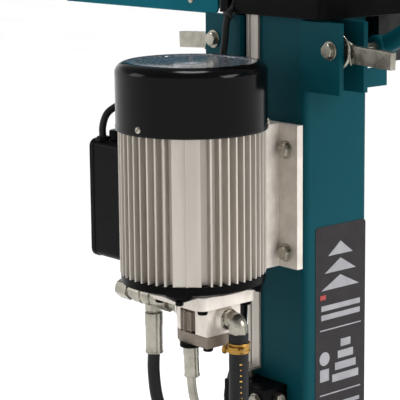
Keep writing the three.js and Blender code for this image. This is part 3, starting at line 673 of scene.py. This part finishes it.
def build_hoses():
    y, z = PUMP_Y, PORT_Z
    hose_piece("suction_hose_run", "suction_hose",
               [(INLET_X, y, z - 14), (INLET_X, y, z - 60), (INLET_X, y, z - 130), (-60, 168, 370),
                (-44, 130, 318), (-30, 92, 300), (-30, 72, 298), (-30, 55.3, 298)], 24)
    hose_piece("pressure_hose_run", "pressure_hose",
               [(OUTLET_X, y, z - 20.3), (OUTLET_X, y, z - 60), (102, y, z - 100), (96, y - 2, 410),
                (84, 160, 372), (56, 140, 356), (32, 122, 352), (30, 108, 352), (30, 98.3, 352)], 16)
    hose_piece("drain_tube_run", "drain_tube",
               [(DRAIN_X, DRAIN_Y, 514.7), (DRAIN_X, DRAIN_Y, 470), (-2, 194, 440), (-8, 186, 412),
                (-6, 160, 388), (0, 130, 376), (2, 112, 375), (2, 98.3, 375)],
               11, "zinc_steel")
    hose_piece("return_hose_run", "return_hose",
               [(VALVE_SIDE + 0.3, RETURN_PORT_Y, RETURN_PORT_Z), (60, RETURN_PORT_Y, RETURN_PORT_Z),
                (72, 73, 397), (79, 64, 414), (79, 54, 440), (75, 48, 475), (RETURN_X, RETURN_Y, 520),
                (RETURN_X, RETURN_Y, 700), (RETURN_X, RETURN_Y, 985)], 13)
    hose_piece("motor_cable_run", "motor_cable", CABLE, 9, step=3.0)


# The motor cable's route, from the terminal box's gland to the switch box.
CABLE = [(131, 227, 756.3), (131, 227, 772), (128, 222, 788), (122, 211, 797), (115, 196, 801),
         (110, 178, 803), (104, 150, 803), (94, 122, 806), (82, 100, 816), (73, 84, 838),
         (68, 79.5, 868), (67, 77, 894), (67, 72, 908), (67, 65, 914.5), (68, 60, 924), (73, 58, 938),
         (79, 55.5, 949), (85, 49.5, 957.5), (89.5, 46.3, 959.8), (92, 46, 960), (95.4, 46, 960)]


build_fittings()
build_hoses()


# ---- control strip and valve ------------------------------------------------------------------
def build_strip():
    """A flat bar with a rolled groove along it and a folded lower lip, notched round two bolts."""
    back, low, top = 55.5, 447, 1000
    section = [(27, 0), (49, 0), (49, 3.6), (48.4, 4), (44.2, 4), (43.6, 3.4), (43.2, 1.6), (41.6, 1.6),
               (41.2, 3.4), (40.6, 4), (27.6, 4), (27, 3.6)]
    narrow = [(x + 10 if x < 30 else x, y) for x, y in section]
    notches = ((603, 634), (734, 765))
    bar = Shape()
    levels = [(low, section)]
    for z0, z1 in notches:
        levels += [(z0 - 4, section), (z0, narrow), (z1, narrow), (z1 + 4, section)]
    levels.append((top, section))
    bar.rings([[(x, back + y, z) for x, y in points] for z, points in levels])
    bar.box(27, 49, back + 3, 77.5, low, low + 3.4)
    piece("control_strip_bar", bar, "strip_zinc", "control_strip", ["control_strip"], bevel=0.3, sharp=45)


def build_valve():
    plugs = Shape()
    for x, z in ((-8, 420), (14, 345), (-10, 350), (48, 345)):
        plugs.hexagon((x, VALVE_FACE + 0.1, z), (x, VALVE_FACE + 5.5, z), 8.5, 1.0)
        plugs.washer((x, VALVE_FACE, z), (0, 1, 0), 2, 10.0, 1.4)
    for z in (352, 420):
        plugs.hexagon((-22.1, 72, z), (-28.5, 72, z), 8.0, 1.0)
    plugs.hexagon((SPOOL_X, SPOOL_Y, VALVE_LOW - 0.1), (SPOOL_X, SPOOL_Y, VALVE_LOW - 8), 10.0, 1.0)
    piece("valve_plugs", plugs, "zinc_steel", "frame", sharp=32)
    collars = Shape()
    collars.turned([(6.7, 0), (10.5, 0), (10.5, 8), (9.5, 9), (6.7, 9)],
                   (VALVE_SIDE + 0.1, RETURN_PORT_Y, RETURN_PORT_Z), (1, 0, 0), 32)
    collars.turned([(8.2, 0), (13, 0), (13, 9), (11.5, 10), (8.2, 10)],
                   (30, VALVE_FACE + 0.1, 352), (0, 1, 0), 6)
    collars.turned([(12.2, 0), (17, 0), (17, 8), (15.5, 9), (12.2, 9)], (-30, 55.2, 298), (0, 1, 0), 40)
    collars.turned([(7.0, 0), (10.2, 0), (10.2, 12), (9.4, 13), (7.0, 13)],
                   (RETURN_X, RETURN_Y, 905.5), (0, 0, 1), 32)
    piece("hose_collars", collars, "black_paint", "frame", sharp=32)
    seal = Shape()
    seal.turned([(8.4, 0), (12.5, 0), (12.5, 0.4), (12.2, 0.7), (8.4, 0.7)],
                (SPOOL_X, SPOOL_Y, VALVE_TOP + 0.1), (0, 0, 1), 40)
    piece("spool_seal", seal, "black_paint", "frame")


build_strip()
build_valve()


# ---- two-hand control -------------------------------------------------------------------------
def build_arm(name, s):
    """One control arm; s is -1 on the left and 1 on the right."""
    px = s * PIVOT_X
    steel = Shape()
    steel.turned([(5.4, 0), (12.4, 0), (13.5, 1), (13.5, 29), (12.4, 30), (5.4, 30)],
                 (px, HUB_Y - 15, PIVOT_Z), (0, 1, 0), 40)
    path = [(s * 117, HUB_Y, PIVOT_Z + 4), (s * 134, HUB_Y, PIVOT_Z + 12), (s * 163, HUB_Y, ARM_Z - 10),
            *[(s * x, HUB_Y, ARM_Z) for x in (190, 230, 350, 452)]]
    steel.tube(path, 12, 28, 8)
    bend = [(s * 452, HUB_Y, ARM_Z), (s * 468, HUB_Y - 3, ARM_Z), (s * 482, HUB_Y - 14, ARM_Z),
            (s * 489, HUB_Y - 34, ARM_Z), (s * 490, HUB_Y - 60, ARM_Z), (s * 490, HUB_Y - 148, ARM_Z)]
    steel.tube(bend, 12, 28, 4)
    piece(f"{name}_arm_tube", steel, "teal_paint", f"{name}_arm", [f"{name}_control_arm"], sharp=40)

    plates = Shape()
    x = sorted((s * 196, s * 204))
    plates.box(x[0], x[1], -170, HUB_Y - 6, ARM_Z - 10, ARM_Z + 10)
    x = sorted((s * 130, s * 204))
    plates.box(x[0], x[1], -178, -169.6, ARM_Z - 10, ARM_Z + 10)
    piece(f"{name}_arm_claw", plates, "teal_paint", f"{name}_arm", bevel=1.2)

    guard = Shape()
    left, right = sorted((s * 184, s * 540))
    rear, thick = -10.7, 3.4
    low, top = 895, 1015
    outline = rounded(left, right, low, top, 9, 5)
    guard.rings([[(x, y, z) for x, z in outline] for y in (rear - thick, rear)])
    for z0, z1 in ((low + 1, low + 4), (top - 4, top - 1)):
        guard.box(left + 9, right - 9, rear - 9, rear - 0.4, z0, z1)
    # The guard takes the lighter copy of the teal paint; its extra lightness is painted light.
    piece(f"{name}_arm_guard", guard, "teal_guard_painted_light", f"{name}_arm", bevel=0.8, sharp=30)

    grip = Shape()
    start = HUB_Y - 66
    profile = [(12.1, 0), (15.6, 0), (16.2, 1.2), (16.2, 4), (14.6, 5.5)]
    for k in range(9):
        profile += [(14.6, 8 + 7.6 * k), (13.8, 9 + 7.6 * k), (13.8, 10.6 + 7.6 * k), (14.6, 11.6 + 7.6 * k)]
    profile += [(14.4, 80), (13.4, 83.6), (10, 84.6), (0, 84.6), (0, 82.4), (12.1, 82.4)]
    grip.turned(profile, (s * 490, start, ARM_Z), (0, -1, 0), 40)
    piece(f"{name}_arm_grip", grip, "grip_rubber", f"{name}_arm", sharp=40)

    bolts = Shape()
    for at in (240, 480):
        for z in (ARM_Z + 26, ARM_Z):
            bolts.turned([(0, 0), (5.4, 0), (5.2, 1.8), (3.2, 3.6), (0, 4)], (s * at, rear - 0.1, z),
                         (0, 1, 0), 24)
    piece(f"{name}_guard_bolts", bolts, "zinc_steel", f"{name}_arm")

    pin = Shape()
    pin.washer((px, 64.6, PIVOT_Z), (0, 1, 0), 2, 11.6, 1.8)
    pin.hexagon((px, 66.4, PIVOT_Z), (px, 72.2, PIVOT_Z), 9.2, 1.0)
    pin.rod((px, 66, PIVOT_Z), (px, -46.5, PIVOT_Z), 5.0, 28, 0.8)
    pin.washer((px, -42.1, PIVOT_Z), (0, -1, 0), 2, 10, 1.5)
    piece(f"{name}_pivot_pin", pin, "zinc_steel", f"{name}_arm", [f"{name}_pivot_bolt"], sharp=32)

    coil = []
    turns, steps = 1.75, 70
    for k in range(steps + 1):
        a = math.radians(100) + TAU * turns * k / steps
        coil.append((px + s * 23 * math.cos(a), 53.2 + 2.8 * k / steps, PIVOT_Z - 1 + 22 * math.sin(a)))
    coil = [(px + s * 26, 53, PIVOT_Z + 8)] + coil + [(px + s * 27, 56, PIVOT_Z - 16)]
    spring = Shape().tube(coil, 1.3, 12, 60, smooth=False)
    piece(f"{name}_pivot_spring", spring, "zinc_steel", f"{name}_arm")

    welds = Shape()
    for y in (57, 23.4):
        welds.tube([(s * 63.2, y, z) for z in (822, 850, 880, 903)], 1.8, 10, 6)
    welds.tube([(s * 58.5, 13.8, z) for z in (821, 860, 903)], 2.0, 10, 6)
    welds.tube([(s * 56.2, y, 818.4) for y in (20, 40, 54)], 1.8, 10, 6)
    piece(f"{name}_bracket_welds", welds, "teal_paint", "frame")


for side_name, side_sign in SIDES:
    build_arm(side_name, side_sign)


def build_housing_trim():
    """Folded lower lip of the control housing, its screws and the cable's grommet."""
    lip = Shape()
    half, rear, front, low = CONTROL_HALF, CONTROL_REAR, CONTROL_FRONT, CONTROL_LOW
    run = [(-half + 0.8, front, low - 0.1), (-half + 0.8, rear - 12, low - 0.1)]
    for k in range(1, 6):
        a = math.radians(180 - 18 * k)
        run.append((-half + 10 + 9.2 * math.cos(a), rear - 10 + 9.2 * math.sin(a), low - 0.1))
    run += [(-20, rear - 0.8, low - 0.1), (20, rear - 0.8, low - 0.1), (59.5, rear - 0.8, low - 0.1)]
    lip.tube(run, 1.25, 10, 500, smooth=False)
    run = [(74.5, rear - 0.8, low - 0.1)]
    for k in range(0, 6):
        a = math.radians(90 - 18 * k)
        run.append((half - 10 + 9.2 * math.cos(a), rear - 10 + 9.2 * math.sin(a), low - 0.1))
    run += [(half - 0.8, front, low - 0.1)]
    lip.tube(run, 1.25, 10, 500, smooth=False)
    piece("control_housing_lip", lip, "black_paint", "frame")
    screws = Shape()
    dome = [(0, 0), (4.6, 0), (4.4, 1.4), (2.6, 2.6), (1.5, 2.8), (1.3, 1.8), (0, 1.8)]
    for s in (-1, 1):
        for y, z in ((-70, 930), (-70, 1020), (40, 1020)):
            if s < 0 or y < 0:  # the switch box leaves no room for the right rear one
                screws.turned(dome, (s * half, y, z), (s, 0, 0), 24)
        screws.turned(dome, (s * 70, rear, 1022), (0, 1, 0), 24)
    piece("control_housing_screws", screws, "zinc_steel", "frame")
    grommet = Shape()
    grommet.turned([(4.6, 0), (7.4, 0), (7.4, 1.6), (6, 3.2), (4.6, 3.2)],
                   (67, 73.6, 905.4), (0, 0.62, -0.78), 28)
    piece("cable_grommet", grommet, "grip_rubber", "frame", slot="hose_rubber")


def build_switch():
    x0, x1, y0, y1, z0, z1 = 96.3, 136, 8, 56, 930, 1012
    mid = (y0 + y1) / 2
    shell = Shape()
    section = rounded(y0 + 0.8, y1 - 0.8, z0 + 0.8, z1 - 0.8, 5)
    rim = rounded(y0, y1, z0, z1, 5.5)
    face = rounded(y0 + 3.5, y1 - 3.5, z0 + 3.5, z1 - 3.5, 4)
    shell.rings([[(x0, y, z) for y, z in section], [(x1 - 11, y, z) for y, z in section],
                 [(x1 - 10.5, y, z) for y, z in rim], [(x1 - 8.4, y, z) for y, z in rim],
                 [(x1 - 6.4, y, z) for y, z in face]])
    piece("switch_box_shell", shell, "black_plastic", "frame", ["switch_box"], bevel=0.8, sharp=28)
    bezel = Shape()
    for z in (990, 955):
        bezel.turned([(10.6, 0), (14.5, 0), (14.5, 4.4), (13.6, 6.2), (11.2, 6.6), (10.6, 6.0)],
                     (x1 - 6.6, mid, z), (1, 0, 0), 48)
    for y in (y0 + 6.5, y1 - 6.5):
        for z in (z0 + 6.5, z1 - 6.5):
            bezel.turned([(0, 0), (2.7, 0), (2.5, 0.9), (1.1, 1.2), (1.0, 0.6), (0, 0.6)], (x1 - 6.5, y, z),
                         (1, 0, 0), 16)
    piece("switch_box_bezels", bezel, "black_paint", "frame", slot="black_plastic")
    for name, z, reach, material in (("start_button", 990, 3.5, "green_button"),
                                     ("stop_button", 955, 5.5, "red_button")):
        length = 2.7 + reach
        cap = Shape().turned([(0, 0), (10, 0), (10, length - 1.6), (9.2, length - 0.5), (7.5, length),
                              (4, length - 0.2), (0, length - 0.5)], (x1 - 2.7, mid, z), (1, 0, 0), 48)
        piece(f"{name}_cap", cap, material, name, [name], sharp=45)


build_housing_trim()
build_switch()


# ---- column details ---------------------------------------------------------------------------
def build_label():
    """A plain plate with three triangles, bars and a simple sign; no words."""
    x = -55.3
    y0, y1, z0, z1 = -52, 38, 343, 643
    plate = Shape()
    outline = rounded(y0, y1, z0, z1, 5)
    plate.slab(outline, -54.9, x - 0.35)
    piece("label_plate", plate, "label_dark", "frame", sharp=30)

    def bar(into, ya, yb, za, zb):
        into.box(x - 0.75, x - 0.25, ya, yb, za, zb)

    light = Shape()
    for k in range(3):
        base = 560 + 22 * k
        light.slab([(28 - 6 * k, base), (-40 + 6 * k, base), (-6, base + 17)], x - 0.25, x - 0.75)
    for za, zb in ((533, 540), (521, 528)):
        bar(light, -42, 28, za, zb)
    bar(light, -44, 30, 507, 508.6)
    bar(light, -44, 30, 421, 422.6)
    for k in range(4):
        bar(light, -40 + 5 * k, 8 - 5 * k, 436 + 15 * k, 446 + 15 * k)
    for za in (403, 390, 377):
        bar(light, -42, 28, za, za + 5)
    bar(light, -42, 2, 364, 369)
    piece("label_marks", light, "label_light", "frame")
    log = Shape()
    log.turned([(0, 0), (9, 0), (9, 0.5), (0, 0.5)], (x - 0.25, 22, 470), (-1, 0, 0), 32)
    log.box(x - 0.75, x - 0.25, 14, 30, 440, 456)
    piece("label_pictogram", log, "label_light", "frame")
    patch = Shape()
    bar(patch, 20, 30, 548, 554)
    piece("label_patch", patch, "label_red", "frame")


def build_handle():
    path = [(-45, 55.3, 1130), (-45, 80.3, 1130), (-45, 170, 1173), (-37, 207, 1185),
            (-23, 215, 1185)]
    path += [(-x, y, z) for x, y, z in reversed(path)]
    bar = Shape().tube(path, 11, 28, 6)
    piece("transport_handle_bar", bar, "teal_paint", "frame", ["transport_handle"], sharp=40)
    trim = Shape()
    for x in (-45, 45):
        trim.turned([(11.1, 0), (13.6, 0), (12.4, 2.4), (11.1, 3.6)], (x, 55.2, 1130), (0, 1, 0), 40)
    piece("handle_welds", trim, "teal_paint", "frame")
    sleeve = Shape()
    sleeve.turned([(11.1, 0), (13.8, 0), (14.2, 1), (14.2, 4), (13.2, 6), (13.2, 34), (14.2, 36), (14.2, 39),
                   (13.8, 40), (11.1, 40)], (-20, 215, 1185), (1, 0, 0), 40)
    piece("handle_sleeve", sleeve, "grip_rubber", "frame")


def build_wheel(name, side):
    centre = (side * WHEEL_X, WHEEL_Y, WHEEL_Z)
    tread = Shape()
    profile = [(66.4, -17), (76, -19.5), (86, -21), (93, -19.5), (97, -15), (98.6, -8), (99, 0)]
    profile += [(r, -h) for r, h in reversed(profile[:-1])]
    tread.turned(profile, centre, (1, 0, 0), 96)
    blocks = 30
    for k in range(blocks):
        for row, shift in ((-1, 0.0), (1, 0.5)):
            a = TAU * (k + shift) / blocks
            wide = TAU * 0.27 / blocks
            ring = []
            for radius, h0, h1 in ((96.0, 1.5, 17.5), (100.0, 2.5, 14.0)):
                ring.append([(centre[0] + row * h, centre[1] + radius * math.cos(a + w),
                              centre[2] + radius * math.sin(a + w))
                             for w, h in ((-wide, h0), (wide, h0), (wide, h1), (-wide, h1))])
            tread.rings(ring)
    piece(f"{name}_tyre_tread", tread, "tyre", f"{name}_wheel", [f"{name}_tyre"], sharp=35)

    rim = Shape()
    half_rim = [(10.4, -21), (22, -21), (24, -19), (25, -7), (52, -5), (58, -12), (59.5, -17), (65.8, -17.5)]
    rim.turned(half_rim + [(r, -h) for r, h in reversed(half_rim)], centre, (1, 0, 0), 64)
    for k in range(5):
        a = TAU * k / 5
        for face in (-1, 1):
            ribs = []
            for radius, wide in ((24, 7.0), (58, 4.0)):
                ribs.append([(centre[0] + face * h, centre[1] + radius * math.cos(a) - w * math.sin(a),
                              centre[2] + radius * math.sin(a) + w * math.cos(a))
                             for w, h in ((-wide, 4), (wide, 4), (wide * 0.6, 11), (-wide * 0.6, 11))])
            rim.rings(ribs)
    piece(f"{name}_rim_cast", rim, "black_paint", f"{name}_wheel", [f"{name}_wheel_rim"], bevel=0.6, sharp=35)
    cap = Shape()
    cap.turned([(0, 0), (14, 0), (14, 2), (12.5, 5), (8, 7.6), (0, 8.4)],
               (side * (WHEEL_X + 21.4), WHEEL_Y, WHEEL_Z), (side, 0, 0), 48)
    piece(f"{name}_hub_cap", cap, "zinc_steel", "frame")


def build_base_trim():
    ribs = Shape()
    for k in range(7):
        y = -310 + 34 * k
        ribs.box(-128, 128, y, y + 6, 269.8, 271.4)
    piece("platform_ribs", ribs, "worn_teal", "frame", bevel=0.5)
    welds = Shape()
    for s in (-1, 1):
        welds.tube([(s * 55.5, -50, 11.6), (s * 55.5, 0, 11.6), (s * 55.5, 50, 11.6)], 2.6, 12, 6)
        for z in (11.4, 256.6):
            welds.tube([(s * 129.2, y, z) for y in (-315, -190, -64)], 2.2, 12, 6)
        welds.tube([(s * 138.9, 64, 11.2), (s * 138.9, 98, 11.2)], 2.0, 12, 6)
    for y in (-55.5, 55.5):
        welds.tube([(-48, y, 11.6), (0, y, 11.6), (48, y, 11.6)], 2.6, 12, 6)
    piece("base_welds", welds, "teal_paint", "frame")
    feet = Shape()
    for x, y in ((-150, -322), (150, -322), (-120, 84), (120, 84)):
        feet.turned([(0, 0), (9.5, 0), (9, 2.6), (6, 4.6), (0, 5)], (x, y, 10.0), (0, 0, 1), 32)
    piece("base_bolts", feet, "zinc_steel", "frame")
    cap = Shape()
    cap.turned([(0, 0), (9, 0), (9, 4), (7.6, 5.2), (0, 5.4)], (0, 30, 1235.8), (0, 0, 1), 6)
    piece("breather_cap", cap, "black_plastic", "frame", bevel=0.5)


build_label()
build_handle()
for side_name, side_sign in SIDES:
    build_wheel(side_name, side_sign)
build_base_trim()


# ---- stage, light and camera ------------------------------------------------------------------
def build_stage():
    size = 40.0
    mesh = bpy.data.meshes.new("floor")
    corners = [(-size, -size, 0), (size, -size, 0), (size, size, 0), (-size, size, 0)]
    mesh.from_pydata(corners, [], [[0, 1, 2, 3]])
    floor = bpy.data.objects.new("floor", mesh)
    bpy.context.scene.collection.objects.link(floor)
    mat = surface("floor_pale", (244, 244, 244), (248, 248, 248), (0.75, 0.85), grain=2, bump=0.02)
    mesh.materials.append(mat)
    floor.location.z = -0.0005

    world = bpy.data.worlds.new("studio")
    bpy.context.scene.world = world
    world.use_nodes = True
    tree = world.node_tree
    back = tree.nodes["Background"]
    back.inputs["Strength"].default_value = 1.0
    place = tree.nodes.new("ShaderNodeTexCoord")
    split = tree.nodes.new("ShaderNodeSeparateXYZ")
    height = tree.nodes.new("ShaderNodeValToRGB")
    tree.links.new(place.outputs["Generated"], split.inputs["Vector"])
    tree.links.new(split.outputs["Z"], height.inputs["Fac"])
    tree.links.new(height.outputs["Color"], back.inputs["Color"])
    height.color_ramp.elements[0].position = 0.18
    height.color_ramp.elements[0].color = (1, 1, 1, 1)
    height.color_ramp.elements[1].position = 0.4
    height.color_ramp.elements[1].color = (0.25, 0.25, 0.25, 1)

    def area(name, place, target, size_, power):
        light = bpy.data.lights.new(name, "AREA")
        light.shape = "SQUARE"
        light.size = size_
        light.energy = power
        lamp = bpy.data.objects.new(name, light)
        lamp.location = place
        lamp.rotation_euler = (Vector(target) - Vector(place)).to_track_quat("-Z", "Y").to_euler()
        bpy.context.scene.collection.objects.link(lamp)

    area("key", (-2.6, -0.9, 1.9), (0, 0.0, 0.75), 1.4, 60)
    area("fill", (2.2, 2.6, 2.0), (0.1, 0.1, 0.8), 1.4, 22)
    sun = bpy.data.lights.new("overhead", "SUN")
    sun.energy = 2.5
    sun.angle = math.radians(25)
    lamp = bpy.data.objects.new("overhead", sun)
    lamp.rotation_euler = (0, 0, 0)
    bpy.context.scene.collection.objects.link(lamp)


def build_camera():
    """A camera at the height of the column's upper part, looking slightly down at the rear left."""
    heading, tilt, roll = math.radians(41.76), math.radians(9.94), math.radians(-0.33)
    ahead = Vector((math.cos(heading) * math.cos(tilt), -math.sin(heading) * math.cos(tilt), -math.sin(tilt)))
    right = Vector((-math.sin(heading), -math.cos(heading), 0))
    up = right.cross(ahead)
    across = right * math.cos(roll) + up * math.sin(roll)
    over = up * math.cos(roll) - right * math.sin(roll)
    camera = bpy.data.cameras.new("camera")
    camera.sensor_width = 36
    camera.lens = 142.9
    camera.shift_x = -0.1
    camera.shift_y = -0.1
    obj = bpy.data.objects.new("camera", camera)
    turn = Matrix((across, over, -ahead)).transposed().to_4x4()
    obj.matrix_world = Matrix.Translation((-1.4428, 1.4031, 1.0714)) @ turn
    bpy.context.scene.collection.objects.link(obj)
    bpy.context.scene.camera = obj


build_stage()
build_camera()
bpy.context.scene.view_settings.view_transform = "Standard"

bpy.context.view_layer.update()
